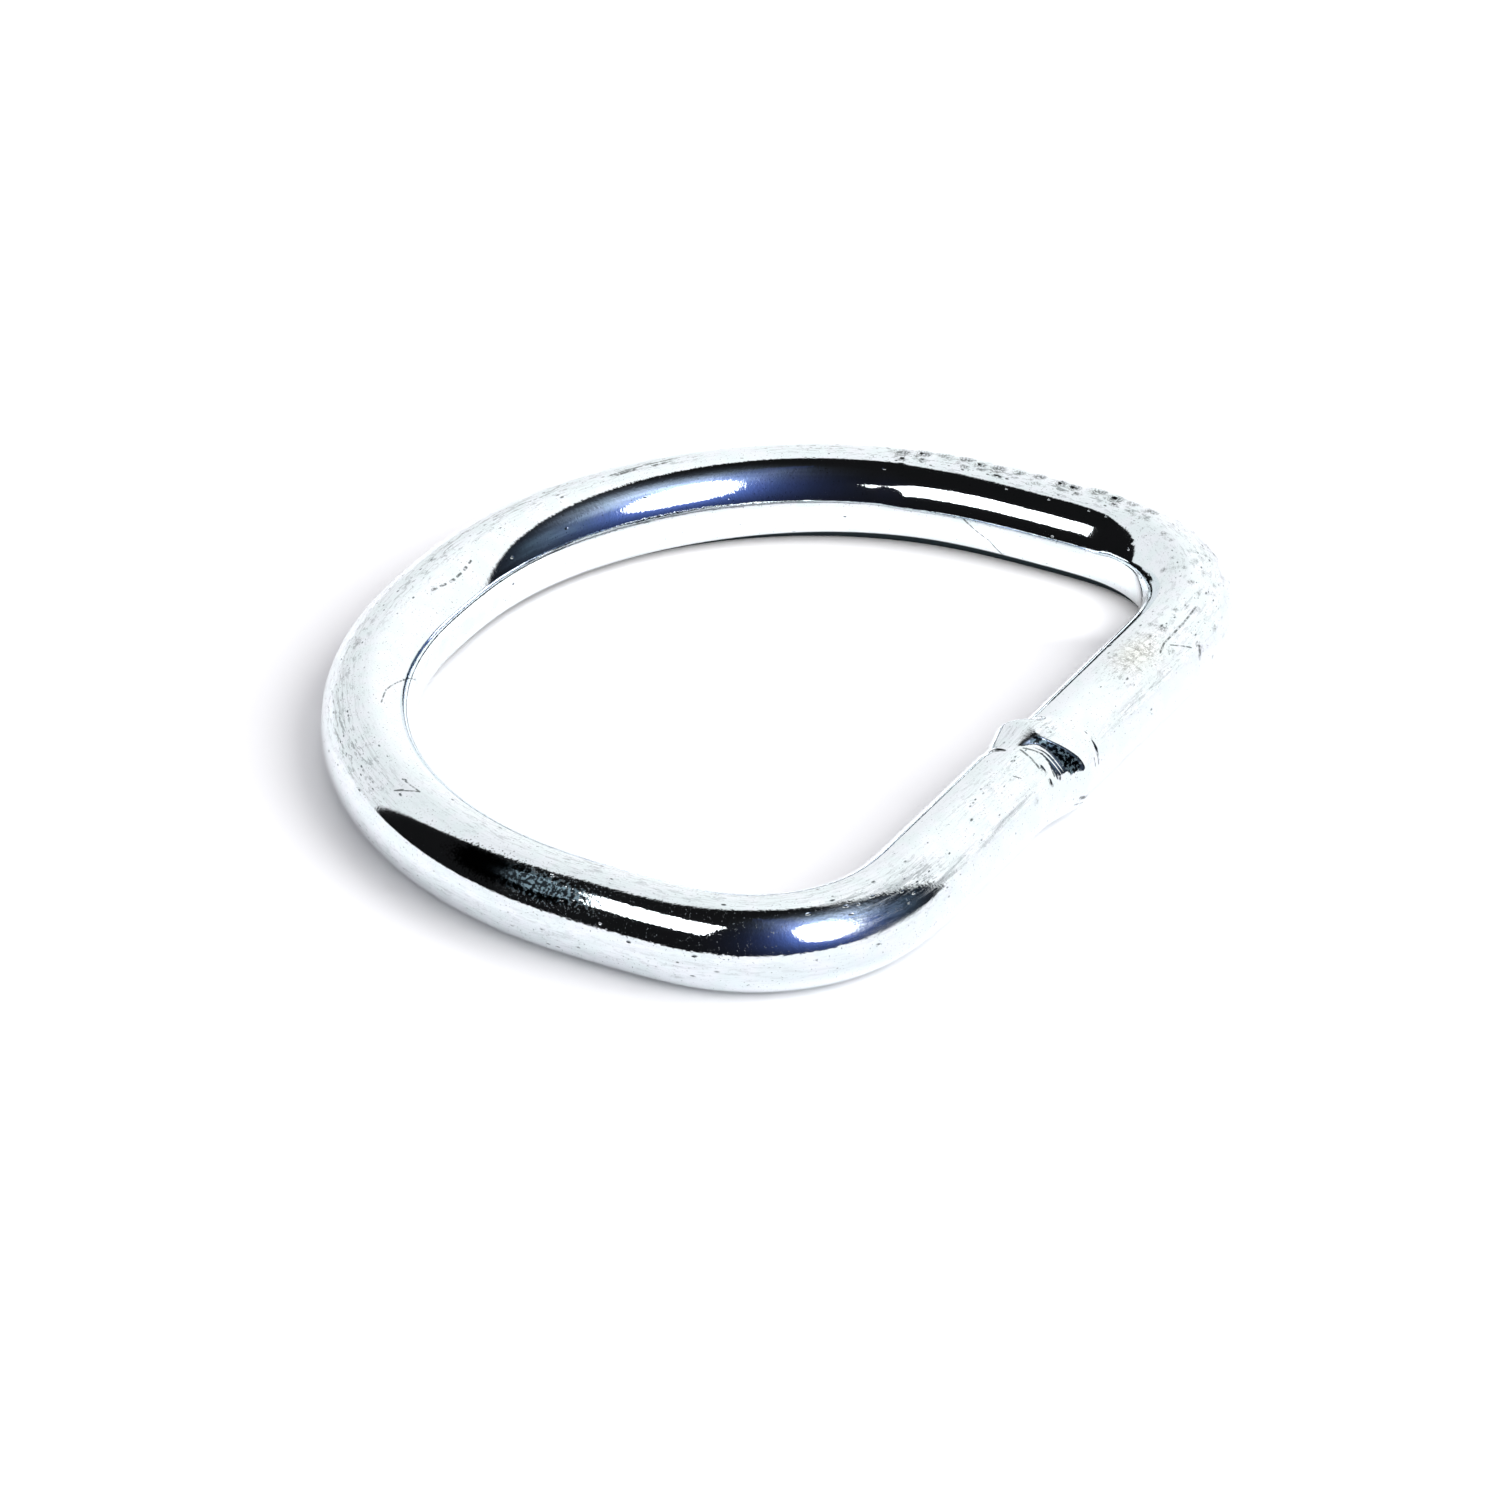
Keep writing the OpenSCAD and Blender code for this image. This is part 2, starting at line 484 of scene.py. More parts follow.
def weld_section(turn):
    """The weld's ramp start, ramp end, flash end and height at each turn."""
    turns, *columns = np.array(WELD_SECTIONS).T
    spread = turn[..., None] + np.arange(-SECTION_BLEND, SECTION_BLEND + 1, 2)
    return [np.interp(spread, turns, column, period=360).mean(axis=-1) for column in columns]


def weld_ramp(x, start, end):
    """Rises from 0 to 1 between the start and the end, with rounded corners."""
    return (hinge(x - start) - hinge(x - end)) / (end - start)


def weld_step(x, turn):
    """Share of the step between the bar's two lines: a gentle start under the ridges, then the ramp."""
    start, end, *rest = weld_section(turn)
    lead_in = weld_ramp(x, start - RIDGES_W, start)
    return RAMP_SHARE * weld_ramp(x, start, end) + (1 - RAMP_SHARE) * lead_in


def weld_relief(x, turn):
    """Height of the weld's flash: a ramp that faces the near side, a taper, ridges and a stepped lip."""
    start, end, flash_end, height = weld_section(turn)
    flash = height * weld_ramp(x, start, end) * (1 - smooth((x - end) / (flash_end - end)))
    ridges = np.cos(2 * np.pi * (x - start) / RIDGE_PITCH)
    ridges = ridges * plateau(x, start - RIDGES_W, RIDGES_RISE, start - RIDGES_GAP, RIDGES_FALL)
    ridges = RIDGE_H * ridges * bell(turn_gap(turn, RIDGES_TURN), RIDGES_SPAN)
    lip_step = plateau(x, LIP_STEP_X - LIP_STEP_RISE / 2, LIP_STEP_RISE, LIP_STEP_X, LIP_STEP_FALL)
    lip_step = LIP_STEP_H * lip_step * bell(turn_gap(turn, LIP_STEP_TURN), LIP_STEP_SPAN)
    return flash + ridges + lip_step


def weld_marks(x, turn):
    """Height of the small marks round the weld."""
    total = 0
    for place, half_length, centre, half_width, height in WELD_MARKS:
        mark = bell(x - place, half_length) * bell(turn_gap(turn, centre), half_width)
        total = total + height * mark
    return total


def jaw_marks():
    """Row of tooth marks on top of the far leg, and a fainter row of nicks on its inner side."""
    chance = random.Random(JAW_SEED)
    marks = []
    for i in range(JAW_COUNT):
        place = JAW_START + i * JAW_PITCH + chance.uniform(-0.2, 0.2)
        centre = JAW_TURN + chance.uniform(-6, 4)
        length = chance.uniform(0.36, 0.60)
        width = length * chance.uniform(0.6, 0.95)
        depth = chance.uniform(0.12, 0.20)
        marks.append((place, centre, length, width, depth, 1.0))
        bump_place = place + chance.uniform(-0.2, 0.25)
        bump_turn = centre + chance.uniform(-5, 4)
        bump_height = chance.uniform(0.02, 0.09)
        marks.append((bump_place, bump_turn, *BUMP_SIZE, -bump_height, 0.3))
        if i % 4 != 3:
            nick_place = place - chance.uniform(0.1, 0.6)
            nick_turn = NICK_TURN + chance.uniform(-4, 3)
            marks.append((nick_place, nick_turn, *NICK_SIZE, NICK_DEPTH, 0.9))
            marks.append((nick_place + 0.5, nick_turn - 5, *SMALL_NICK_SIZE, SMALL_NICK_DEPTH, 0.8))
    return marks


def pits():
    """Scattered pits over the far bend and the bar beside it."""
    chance = random.Random(PIT_SEED)
    marks = []
    for _ in range(PIT_COUNT):
        place = chance.uniform(*PIT_STRETCH)
        centre = chance.gauss(PIT_TURN, PIT_TURN_SPREAD)
        radius = chance.uniform(0.10, 0.22)
        radius_across = radius * chance.uniform(0.7, 1)
        grime = chance.uniform(0.3, 0.9)
        marks.append((place, centre, radius, radius_across, PIT_DEPTH_SHARE * radius, grime))
    return marks


def press(marks, along, turn):
    """Height and dirt that round dents with raised rims give the surface."""
    height = np.zeros((len(along), len(turn[0])))
    dirt = np.zeros(height.shape)
    for place, centre, radius_along, radius_across, depth, grime in marks:
        near = np.abs(along[:, 0] - place) < DENT_REACH * radius_along
        arc = np.radians(turn_gap(turn, centre)) * WIRE_R
        gap = np.hypot((along[near] - place) / radius_along, arc / radius_across)
        height[near] += RIM_H_SHARE * depth * bell(gap - RIM_AT, RIM_WIDTH)
        height[near] -= depth * np.clip(1 - gap ** 2, 0, None)
        dirt[near] = np.maximum(dirt[near], grime * bell(gap - DIRT_AT, DIRT_WIDTH))
    return height, dirt


def jaw_flats(along, turn):
    """Slight flattening of the far leg where the tool gripped it."""
    stretch = plateau(along, JAW_FLATS_START, JAW_FLATS_RISE, JAW_FLATS_END, JAW_FLATS_FALL)
    flats = sum(depth * bell(turn_gap(turn, centre), width) for centre, width, depth in JAW_FLATS)
    return -flats * stretch


def wear_masks(along, turn):
    """Strength of the speckles, drawn lines and haze over the wire's surface. The haze also carries
    painted shade on the near leg's outer lower face.
    """
    masks = np.zeros((3, len(along), len(turn[0])))
    for place, centre, half_length, half_width, *strengths in WEAR:
        gap = np.abs((along - place + WIRE_LENGTH / 2) % WIRE_LENGTH - WIRE_LENGTH / 2)
        area = (1 - smooth(gap / half_length - 0.4)) * bell(turn_gap(turn, centre), half_width)
        for mask, strength in zip(masks, strengths):
            np.maximum(mask, strength * area, out=mask)
    return masks


def stains_and_painted_shade(along, x, turn):
    """Dark film painted near black: burnt metal on the weld's ramp that also deepens its dark
    reflection, and painted shade that blots out the panel's reflection where the near leg begins.
    """
    start, end, *rest = weld_section(turn)
    share = np.clip((x - start) / (end - start), 0, 1)
    burnt = plateau(share, 0, 1 / 5, 2 / 3, 1 / 3)
    burnt = burnt * plateau(turn, BURNT_TURN_START, BURNT_TURN_RISE, BURNT_TURN_END, BURNT_TURN_FALL)
    burnt = burnt * smooth((x - BURNT_FROM_X) / BURNT_FADE) * (x < HALF_BAR)
    # Painted shade: near black where the near leg begins, which blots out the panel's reflection there
    painted_shade = plateau(along, PAINTED_SHADE_START, PAINTED_SHADE_RISE, PAINTED_SHADE_END, PAINTED_SHADE_FALL)
    painted_shade = painted_shade * bell(turn_gap(turn, PAINTED_SHADE_TURN), PAINTED_SHADE_SPAN)
    return np.maximum(burnt, painted_shade)


def flaky_zone(along, turn):
    """Strength of the flaking on the bar before the far bend."""
    return bell(along - FLAKES_ALONG, FLAKES_LENGTH) * bell(turn_gap(turn, FLAKES_TURN), FLAKES_SPAN)


def flakes(along, turn, points):
    """Height of the raised flakes of plating on the bar before the far bend."""
    zone = flaky_zone(along, turn)
    rough = np.zeros(zone.shape)
    where = zone > 0.02
    rough[where] = [noise.turbulence(Vector(p) * FLAKES_PER_MM, 3, False) for p in points[where]]
    return FLAKES_H * zone * (rough - 0.4)


def waviness(points):
    """Height of the slight unevenness of the whole surface."""
    shift = Vector(CLOSE_WAVE_SHIFT)
    broad = [noise.noise(Vector(p) / BROAD_WAVE) for p in points.reshape(-1, 3)]
    close = [noise.noise(Vector(p) / CLOSE_WAVE + shift) for p in points.reshape(-1, 3)]
    height = BROAD_WAVE_H * np.array(broad) + CLOSE_WAVE_H * np.array(close)
    return height.reshape(points.shape[:2])


def wire_surface(places, turns):
    """Vertices of the wire's surface, and the masks that its material reads."""
    rings = len(places)
    centres, headings = centreline(places)
    outward = np.column_stack([headings[:, 1], -headings[:, 0]])
    along = places[:, None]
    turn = turns[None, :]
    x = bar_place(along)
    around = np.radians(turn)
    normals = np.zeros((rings, SIDES, 3))
    normals[:, :, :2] = outward[:, None, :] * np.cos(around)[:, :, None]
    normals[:, :, 2] = np.sin(around)
    axis = np.column_stack([centres, np.full(rings, WIRE_R)])[:, None, :] + 0 * normals
    axis[:, :, 1] -= END_STEP * (weld_step(x, turn) - (x >= 0)) * (np.abs(x) < HALF_BAR)
    smooth_wire = axis + WIRE_R * normals
    relief = weld_relief(x, turn) + weld_marks(x, turn)
    relief = relief * (np.abs(x) < HALF_BAR)
    pressed, dirt = press(jaw_marks() + pits() + DENTS, along, turn)
    relief = relief + pressed + jaw_flats(along, turn)
    relief = relief + flakes(along, turn, smooth_wire) + waviness(smooth_wire)
    rests = 1 - bell(turn_gap(turn, -90), PLAIN_UNDERSIDE)
    vertices = axis + (WIRE_R + relief * rests)[:, :, None] * normals

    masks = dict(zip(WEAR_MASKS, wear_masks(along, turn)))
    others = (dirt, stains_and_painted_shade(along, x, turn), flaky_zone(along, turn))
    masks.update(zip(OTHER_MASKS, others))
    return vertices, masks


def wire_mesh():
    """The whole ring as one closed mesh, with a UV map of the unrolled wire."""
    places = ring_places()
    rings = len(places)
    turns = -90 + 360 * np.arange(SIDES) / SIDES
    vertices, masks = wire_surface(places, turns)

    ring = np.arange(rings)[:, None]
    side = np.arange(SIDES)[None, :]
    next_ring = (ring + 1) % rings
    next_side = (side + 1) % SIDES
    corners = [
        ring * SIDES + side,
        next_ring * SIDES + side,
        next_ring * SIDES + next_side,
        ring * SIDES + next_side,
    ]
    faces = np.stack(np.broadcast_arrays(*corners), axis=-1).reshape(-1, 4)
    mesh = bpy.data.meshes.new("d_ring")
    mesh.from_pydata((vertices.reshape(-1, 3) * MM).tolist(), [], faces.tolist())
    mesh.polygons.foreach_set("use_smooth", [True] * len(mesh.polygons))

    ends = np.append(places, WIRE_LENGTH) / WIRE_LENGTH
    low_u = ends[:-1][:, None]
    high_u = ends[1:][:, None]
    low_v = side / SIDES
    high_v = (side + 1) / SIDES
    u = np.stack(np.broadcast_arrays(low_u, high_u, high_u, low_u + 0 * side), axis=-1)
    v = np.stack(np.broadcast_arrays(low_v, low_v, high_v, high_v + 0 * ring), axis=-1)
    unrolled = mesh.uv_layers.new(name="unrolled_wire")
    unrolled.data.foreach_set("uv", np.stack([u, v], axis=-1).ravel())
    for name, mask in masks.items():
        mesh.attributes.new(name, "FLOAT", "POINT").data.foreach_set("value", mask.ravel())
    mesh.update()
    return mesh


class Nodes:
    """Adds nodes to a node tree, and returns what comes out of them."""

    def __init__(self, tree):
        self.tree = tree

    def fill(self, socket, value):
        """Links an output to the socket, or sets a plain value there."""
        if isinstance(value, bpy.types.NodeSocket):
            self.tree.links.new(value, socket)
        else:
            socket.default_value = value

    def node(self, kind, inputs=None, **settings):
        node = self.tree.nodes.new(kind)
        for name, value in settings.items():
            setattr(node, name, value)
        for name, value in (inputs or {}).items():
            self.fill(node.inputs[name], value)
        return node

    def add(self, kind, inputs=None, output=0, **settings):
        return self.node(kind, inputs, **settings).outputs[output]

    def math(self, operation, *values):
        return self.add("ShaderNodeMath", dict(enumerate(values)), operation=operation)

    def product(self, first, *others):
        for other in others:
            first = self.math("MULTIPLY", first, other)
        return first

    def bell(self, value):
        """1 at no value, falling off like a bell."""
        square = self.math("POWER", value, 2)
        return self.math("EXPONENT", self.math("MULTIPLY", square, -1))

    def vector(self, operation, *values, output=0):
        return self.add("ShaderNodeVectorMath", dict(enumerate(values)), output, operation=operation)

    def scale(self, vector, factor):
        return self.add("ShaderNodeVectorMath", {0: vector, 3: factor}, operation="SCALE")

    def join(self, x, y, z):
        return self.add("ShaderNodeCombineXYZ", {0: x, 1: y, 2: z})

    def split(self, vector):
        return self.node("ShaderNodeSeparateXYZ", {0: vector}).outputs

    def ramp(self, value, low, high, bottom=0.0, top=1.0):
        """Rises smoothly from bottom to top while the value goes from low to high."""
        inputs = {"Value": value, "From Min": low, "From Max": high, "To Min": bottom, "To Max": top}
        return self.add("ShaderNodeMapRange", inputs, interpolation_type="SMOOTHSTEP")

    def zone(self, value, start, full_from, full_to, end):
        """Rises from 0 at the start to 1, and falls back to 0 at the end."""
        return self.product(self.ramp(value, start, full_from), self.ramp(value, end, full_to))

    def mix(self, share, first, second):
        """Mix of two colours, which are the node's inputs 6 and 7."""
        return self.add("ShaderNodeMix", {0: share, 6: first, 7: second}, 2, data_type="RGBA")

    def noise(self, vector, scale, detail=2.0, roughness=0.5):
        inputs = {"Vector": vector, "Scale": scale, "Detail": detail, "Roughness": roughness}
        return self.add("ShaderNodeTexNoise", inputs)


class Wire:
    """Coordinates on the wire, its masks and its common noise, as outputs of nodes."""

    def __init__(self, n):
        self.n = n
        uv = n.split(n.add("ShaderNodeUVMap", uv_map="unrolled_wire"))
        self.along = n.math("MULTIPLY", uv[0], WIRE_LENGTH)
        self.angle = n.math("MULTIPLY", uv[1], 2 * math.pi)
        across_x = n.math("MULTIPLY", n.math("COSINE", self.angle), WIRE_R)
        across_y = n.math("MULTIPLY", n.math("SINE", self.angle), WIRE_R)
        self.space = n.join(across_x, across_y, self.along)
        self.drawn_space = self.stretched(0.07)
        arc = n.math("MULTIPLY", n.math("SUBTRACT", self.angle, math.pi / 2), WIRE_R)
        self.unrolled = n.join(self.along, arc, 0.0)
        past_half = n.math("GREATER_THAN", uv[0], 0.5)
        on_bar = n.math("MULTIPLY_ADD", past_half, -WIRE_LENGTH, self.along)
        self.unrolled_bar = n.join(on_bar, arc, 0.0)
        self.mask = {
            name: n.add("ShaderNodeAttribute", output="Fac", attribute_name=name)
            for name in WEAR_MASKS + OTHER_MASKS
        }
        self.grain = n.noise(self.space, 4.0, 2.0, 0.55)
        self.fine = n.noise(self.space, 8.0, 2.0, 0.6)
        self.swell = n.noise(self.space, 0.7, 1.0)

    def stretched(self, share):
        """The wire's space with lengths along it counted as a share, which stretches a pattern."""
        return self.n.vector("MULTIPLY", self.space, (1.0, 1.0, share))


def scratch_mask(n, place, scratches):
    """1 on the scratches and 0 elsewhere. place is along and arc, in millimetres."""
    total = None
    for width, points in scratches.values():
        corners = [Vector((along, math.radians(turn) * WIRE_R, 0)) for along, turn in points]
        nearest = None
        for first, last in zip(corners, corners[1:]):
            run = last - first
            offset = n.vector("SUBTRACT", place, first)
            share = n.vector("DOT_PRODUCT", offset, run / run.length_squared, output=1)
            share = n.math("MINIMUM", n.math("MAXIMUM", share, 0), 1)
            gap = n.vector("DISTANCE", offset, n.scale(run, share), output=1)
            nearest = gap if nearest is None else n.math("MINIMUM", nearest, gap)
        line = n.ramp(nearest, width * 0.75, width * 0.25)
        total = line if total is None else n.math("MAXIMUM", total, line)
    return total


def speck_mask(n, wire):
    """Small dark specks, more of them where the speckles are strong."""
    cells = n.node("ShaderNodeTexVoronoi", {"Vector": wire.stretched(0.5), "Scale": 3.4})
    chance = n.split(cells.outputs["Color"])
    share = n.math("MULTIPLY_ADD", wire.mask["speckles"], 0.55, 0.02)
    present = n.math("LESS_THAN", chance[0], share)
    size = n.math("MULTIPLY_ADD", chance[1], 0.22, 0.16)
    inside = n.ramp(n.math("DIVIDE", cells.outputs["Distance"], size), 1.0, 0.3)
    return n.product(inside, present)


def dash_mask(n, wire):
    """Short dark dashes along the wire, among the speckles and the drawn lines."""
    dashes = n.ramp(n.noise(wire.stretched(0.25), 4.6, 3.0, 0.7), 0.54, 0.61)
    return n.product(dashes, n.math("MAXIMUM", wire.mask["speckles"], wire.mask["lines"]))


def crack_mask(n, wire):
    """Uneven cracks between the flakes of plating."""
    wobble = n.join(wire.grain, wire.fine, wire.grain)
    place = n.vector("MULTIPLY_ADD", wobble, (0.7, 0.7, 0.7), wire.space)
    inputs = {"Vector": place, "Scale": 1.5}
    gap = n.add("ShaderNodeTexVoronoi", inputs, "Distance", feature="DISTANCE_TO_EDGE")
    cracks = n.product(n.ramp(gap, 0.11, 0.03), n.ramp(wire.swell, 0.35, 0.55, 0.5, 1.0))
    return n.product(cracks, wire.mask["flaking"])


def dirt_mask(n, wire):
    """Dirt in the dents, the scratches and the weld's seams."""
    mottle = n.ramp(wire.fine, 0.43, 0.52, 0.20, 1.0)
    broken = n.ramp(wire.grain, 0.36, 0.54, 0.25, 1.0)
    scratches = scratch_mask(n, wire.unrolled, SCRATCHES)
    scratches = n.math("MAXIMUM", scratches, scratch_mask(n, wire.unrolled_bar, WELD_LINES))
    in_dents = n.product(wire.mask["dirt"], mottle)
    return n.math("MAXIMUM", in_dents, n.product(scratches, broken))


def painted_contact_mask(n, wire):
    """The painted dark line low on the inner side of the far part of the ring: painted shade for the
    reflected contact with the floor.
    """
    edge = n.ramp(wire.along, *CONTACT_EDGE_PLACES, *CONTACT_EDGES)
    line = n.ramp(n.math("SUBTRACT", n.math("COSINE", wire.angle), edge), 0.0, 0.05)
    inner_side = n.ramp(n.math("SINE", wire.angle), 0.0, -0.2)
    return n.product(line, inner_side, n.zone(wire.along, *CONTACT_STRETCH))


def plating_bump(n, wire, specks):
    """Bump of the drawn lines, the grain, a slow swell and the specks, with heights in millimetres."""
    drawn = n.noise(wire.drawn_space, 5.0, 4.0, 0.6)
    drawn_height = n.math("MULTIPLY_ADD", wire.mask["lines"], 0.0024, 0.0010)
    height = n.product(drawn, drawn_height)
    grain_height = n.math("MULTIPLY_ADD", wire.mask["haze"], 0.0070, 0.0022)
    height = n.math("MULTIPLY_ADD", wire.grain, grain_height, height)
    near_leg = n.zone(wire.along, *ROUGH_NEAR_LEG)
    far_shoulder = n.zone(wire.along, *ROUGH_FAR_SHOULDER)
    rough_height = n.product(n.math("MAXIMUM", near_leg, far_shoulder), 0.0032)
    height = n.math("MULTIPLY_ADD", wire.grain, rough_height, height)
    height = n.math("MULTIPLY_ADD", wire.swell, 0.005, height)
    height = n.math("MULTIPLY_ADD", specks, -0.02, height)
    return n.add("ShaderNodeBump", {"Strength": 1.0, "Distance": MM, "Height": height})


def plated_steel():
    """Bright zinc plating: silvery, slightly cyan, with drawn lines, grain, haze, pits and scratches,
    and with painted shade: a dark contact line, near-black film and grey on the near leg's lower face.
    """
    material = bpy.data.materials.new("plated_steel")
    material.use_nodes = True
    tree = material.node_tree
    tree.nodes.clear()
    n = Nodes(tree)
    wire = Wire(n)
    specks = speck_mask(n, wire)
    under = painted_contact_mask(n, wire)
    ragged_stain_and_shade = n.math("MULTIPLY_ADD", n.math("SUBTRACT", wire.fine, 0.5), 1.6, wire.mask["stain_and_shade"])
    stained_and_shaded = n.ramp(ragged_stain_and_shade, 0.22, 0.42)
    bloom = n.product(n.ramp(wire.grain, 0.47, 0.60), n.ramp(wire.along, 121.5, 124.5))
    streaks = n.ramp(n.noise(wire.drawn_space, 6.0, 3.0, 0.7), 0.50, 0.62)
    film = n.ramp(n.noise(wire.drawn_space, 1.3, 4.0, 0.75), 0.42, 0.60)
    haze_and_shade_share = n.product(film, wire.mask["haze"])

    roughness = n.math("MULTIPLY_ADD", haze_and_shade_share, 0.30, 0.045)
    roughness = n.math("MULTIPLY_ADD", stained_and_shaded, 0.05, roughness)
    tint = n.mix(n.ramp(wire.swell, 0.35, 0.65), CYAN_PLATING, BLUE_PLATING)
    # Grey of the haze, which on the near leg's outer lower face is also painted shade
    tint = n.mix(n.product(haze_and_shade_share, 0.42), tint, HAZE_AND_SHADE_TINT)
    tint = n.mix(n.product(streaks, wire.mask["lines"], 0.6), tint, STREAK_TINT)
    tint = n.mix(n.product(dash_mask(n, wire), 0.7), tint, DASH_TINT)
    tint = n.mix(n.product(specks, 0.92), tint, SPECK_TINT)
    tint = n.mix(n.product(wire.mask["flaking"], 0.7), tint, FLAKE_TINT)
    tint = n.mix(n.product(crack_mask(n, wire), 0.8), tint, CRACK_TINT)
    # Near-black film, partly burnt metal and partly painted shade that blots out reflections, with teal
    # mottles
    tint = n.mix(stained_and_shaded, tint, n.mix(bloom, STAIN_AND_PAINTED_SHADE_TINT, BLOOM_TINT))
    tint = n.mix(n.product(dirt_mask(n, wire), 0.88), tint, DIRT_TINT)
    # Painted shade: a black non-metal line that stands in for the reflected shade where the ring meets
    # the floor
    tint = n.mix(under, tint, PAINTED_CONTACT_TINT)
    non_metal_share = n.math("MAXIMUM", under, n.product(stained_and_shaded, bloom, 0.5))

    shader = tree.nodes.new("ShaderNodeBsdfPrincipled")
    shader.inputs["Specular IOR Level"].default_value = 0.0
    tree.links.new(n.math("SUBTRACT", 1.0, non_metal_share), shader.inputs["Metallic"])
    tree.links.new(tint, shader.inputs["Base Color"])
    tree.links.new(roughness, shader.inputs["Roughness"])
    tree.links.new(plating_bump(n, wire, specks), shader.inputs["Normal"])
    n.node("ShaderNodeOutputMaterial", {"Surface": shader.outputs[0]})
    return material


def pale_floor():
    """A large plain floor, nearly white."""
    side = FLOOR_HALF_SIDE
    corners = [(-side, -side, 0), (side, -side, 0), (side, side, 0), (-side, side, 0)]
    mesh = bpy.data.meshes.new("floor")
    mesh.from_pydata(corners, [], [(0, 1, 2, 3)])
    floor = bpy.data.objects.new("floor", mesh)
    bpy.context.scene.collection.objects.link(floor)
    material = bpy.data.materials.new("pale_floor")
    material.use_nodes = True
    shader = material.node_tree.nodes["Principled BSDF"]
    shader.inputs["Base Color"].default_value = FLOOR_COLOR
    shader.inputs["Roughness"].default_value = FLOOR_ROUGHNESS
    shader.inputs["Specular IOR Level"].default_value = 0.0
    mesh.materials.append(material)


def direction_from_camera(azimuth, elevation):
    """Unit direction from the ring, with the azimuth counted from the camera towards its right."""
    azimuth = math.radians(CAMERA_AZIMUTH + azimuth)
    elevation = math.radians(elevation)
    flat = math.cos(elevation)
    return Vector((math.sin(azimuth) * flat, -math.cos(azimuth) * flat, math.sin(elevation)))


def add_camera():
    """The camera, at the photograph's viewing angle."""
    data = bpy.data.cameras.new("camera")
    data.lens = CAMERA_LENS
    data.sensor_width = SENSOR_WIDTH
    camera = bpy.data.objects.new("camera", data)
    back = direction_from_camera(0, CAMERA_ELEVATION)
    camera.location = (Vector(CAMERA_TARGET) + CAMERA_DISTANCE * back) * MM
    camera.rotation_euler = back.to_track_quat("Z", "Y").to_euler()
    bpy.context.scene.collection.objects.link(camera)
    bpy.context.scene.camera = camera


def studio():
    """Surroundings: a white sweep behind the ring, and a dark room in front with a lamp and its haze."""
    world = bpy.data.worlds.new("studio")
    bpy.context.scene.world = world
    world.use_nodes = True
    tree = world.node_tree
    tree.nodes.clear()
    n = Nodes(tree)
    direction = n.add("ShaderNodeTexCoord", output=0)

    def component(axis):
        """Share of the direction along an axis."""
        return n.vector("DOT_PRODUCT", direction, tuple(axis), output=1)

    degree = 180 / math.pi
    ahead = component(direction_from_camera(0, 0))
    sideways = component(direction_from_camera(90, 0))
    azimuth = n.math("MULTIPLY", n.math("ARCTAN2", sideways, ahead), degree)
    elevation = n.math("MULTIPLY", n.math("ARCSINE", component((0, 0, 1))), degree)

    def distance(middle, size, power):
        """Below 1 inside a rounded patch of the surroundings, and above 1 outside."""
        across = n.math("DIVIDE", n.math("SUBTRACT", azimuth, middle[0]), size[0])
        up = n.math("DIVIDE", n.math("SUBTRACT", elevation, middle[1]), size[1])
        across = n.math("POWER", n.math("ABSOLUTE", across), power)
        up = n.math("POWER", n.math("ABSOLUTE", up), power)
        return n.math("POWER", n.math("ADD", across, up), 1 / power)

    from_back = n.math("SUBTRACT", 180, n.math("ABSOLUTE", azimuth))
    across = n.math("DIVIDE", from_back, n.ramp(sideways, -0.2, 0.2, *SWEEP_HALF_WIDTHS))
    up = n.math("DIVIDE", n.math("ABSOLUTE", elevation), SWEEP_HALF_HEIGHT)
    across = n.math("POWER", across, SWEEP_ROUNDNESS)
    up = n.math("POWER", up, SWEEP_ROUNDNESS)
    sweep = n.ramp(n.math("ADD", across, up), 1.05, 0.95)
    to_lamp = distance(LAMP_MIDDLE, LAMP_SIZE, LAMP_ROUNDNESS)
    lamp = n.ramp(to_lamp, 1.1, 0.95)

    past_lamp = n.math("SUBTRACT", to_lamp, 1.0)
    blue = n.math("EXPONENT", n.math("MULTIPLY", past_lamp, -BLUE_FALL))
    from_haze = n.math("ARCCOSINE", component(direction_from_camera(*HAZE_MIDDLE)))
    from_haze = n.math("MULTIPLY", from_haze, degree)
    haze = n.bell(n.math("DIVIDE", from_haze, HAZE_RADIUS))
    arch = n.bell(distance(ARCH_MIDDLE, ARCH_SIZE, 2))
    patchy = n.ramp(n.noise(direction, 5.0, 4.0, 0.6), 0.35, 0.62, 0.65, 1.2)
    room = n.vector("ADD", ROOM_COLOR, n.scale(BLUE_COLOR, n.math("MINIMUM", blue, 1)))
    room = n.vector("ADD", room, n.scale(HAZE_COLOR, n.product(haze, patchy)))
    room = n.vector("ADD", room, n.scale(ARCH_COLOR, n.product(arch, patchy)))

    paper = n.mix(n.ramp(sideways, -0.35, 0.3), SWEEP_LEFT, SWEEP_RIGHT)
    room = n.mix(sweep, room, paper)
    room = n.mix(lamp, room, LAMP_COLOR)
    room = n.mix(n.ramp(elevation, 0, -1), room, GROUND_COLOR)
    rays = n.node("ShaderNodeLightPath").outputs
    colour = n.mix(rays["Is Diffuse Ray"], room, FILL_COLOR)
    colour = n.mix(rays["Is Camera Ray"], colour, BACKDROP_COLOR)
    background = n.add("ShaderNodeBackground", {"Color": colour})
    n.node("ShaderNodeOutputWorld", {"Surface": background})


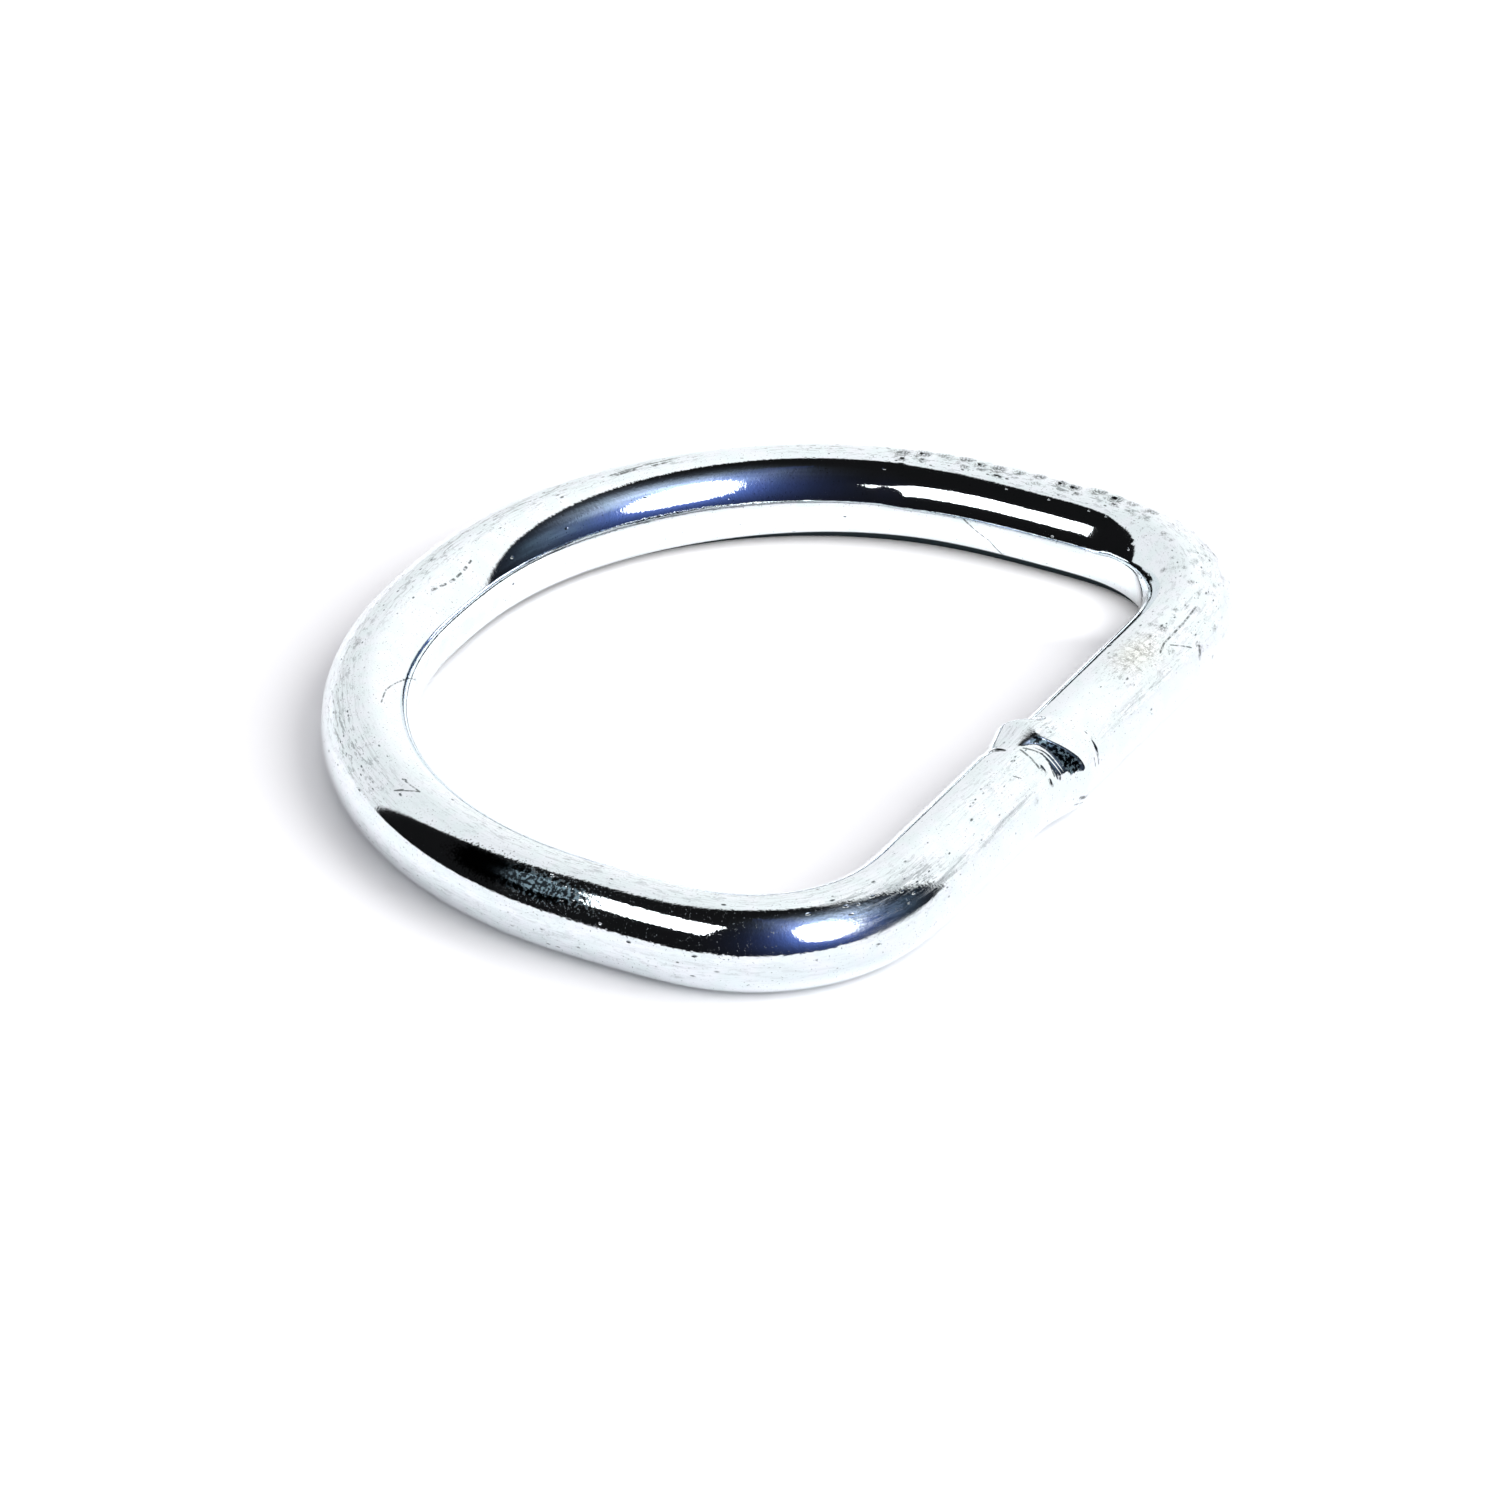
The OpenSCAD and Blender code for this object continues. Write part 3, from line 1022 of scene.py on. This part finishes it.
def rectangle_light(name, width, height, radiance):
    """A rectangular area light of a set radiance, which the camera doesn't see."""
    data = bpy.data.lights.new(name, "AREA")
    data.shape = "RECTANGLE"
    data.size = width * MM
    data.size_y = height * MM
    data.energy = radiance * math.pi * data.size * data.size_y
    light = bpy.data.objects.new(name, data)
    light.visible_camera = False
    bpy.context.scene.collection.objects.link(light)
    return light


def near_panel():
    """A soft lit panel close to the ring, mirrored in both legs."""
    panel = rectangle_light("panel", PANEL_WIDTH, PANEL_HEIGHT, PANEL_RADIANCE)
    towards = direction_from_camera(PANEL_AZIMUTH, PANEL_ELEVATION)
    panel.location = PANEL_DISTANCE * MM * towards
    roll = Quaternion((0, 0, 1), math.radians(PANEL_ROLL))
    panel.rotation_euler = (towards.to_track_quat("Z", "Y") @ roll).to_euler()
    panel.visible_diffuse = False


def low_strip():
    """A low strip inside the ring that lights the floor before the far leg, unseen in the metal."""
    strip = rectangle_light("low_strip", STRIP_LENGTH, STRIP_WIDTH, STRIP_RADIANCE)
    strip.location = Vector(STRIP_PLACE) * MM
    facing = Vector(STRIP_TARGET) - Vector(STRIP_PLACE)
    strip.rotation_euler = facing.to_track_quat("-Z", "Y").to_euler()
    strip.visible_glossy = False


def floor_lights():
    """Soft lights that shade the floor and aren't mirrored in the metal."""
    for azimuth, strength in FLOOR_LIGHTS:
        data = bpy.data.lights.new(f"floor_light_{azimuth}", "SUN")
        data.energy = strength
        data.angle = math.radians(FLOOR_LIGHT_SPREAD)
        light = bpy.data.objects.new(data.name, data)
        towards = direction_from_camera(azimuth, FLOOR_LIGHT_ELEVATION)
        light.rotation_euler = towards.to_track_quat("Z", "Y").to_euler()
        light.visible_glossy = False
        bpy.context.scene.collection.objects.link(light)


mesh = wire_mesh()
ring = bpy.data.objects.new("d_ring", mesh)
bpy.context.scene.collection.objects.link(ring)
mesh.materials.append(plated_steel())
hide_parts("ring")
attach(ring, "root")
pale_floor()
studio()
near_panel()
low_strip()
floor_lights()
add_camera()
bpy.context.scene.view_settings.view_transform = "Standard"
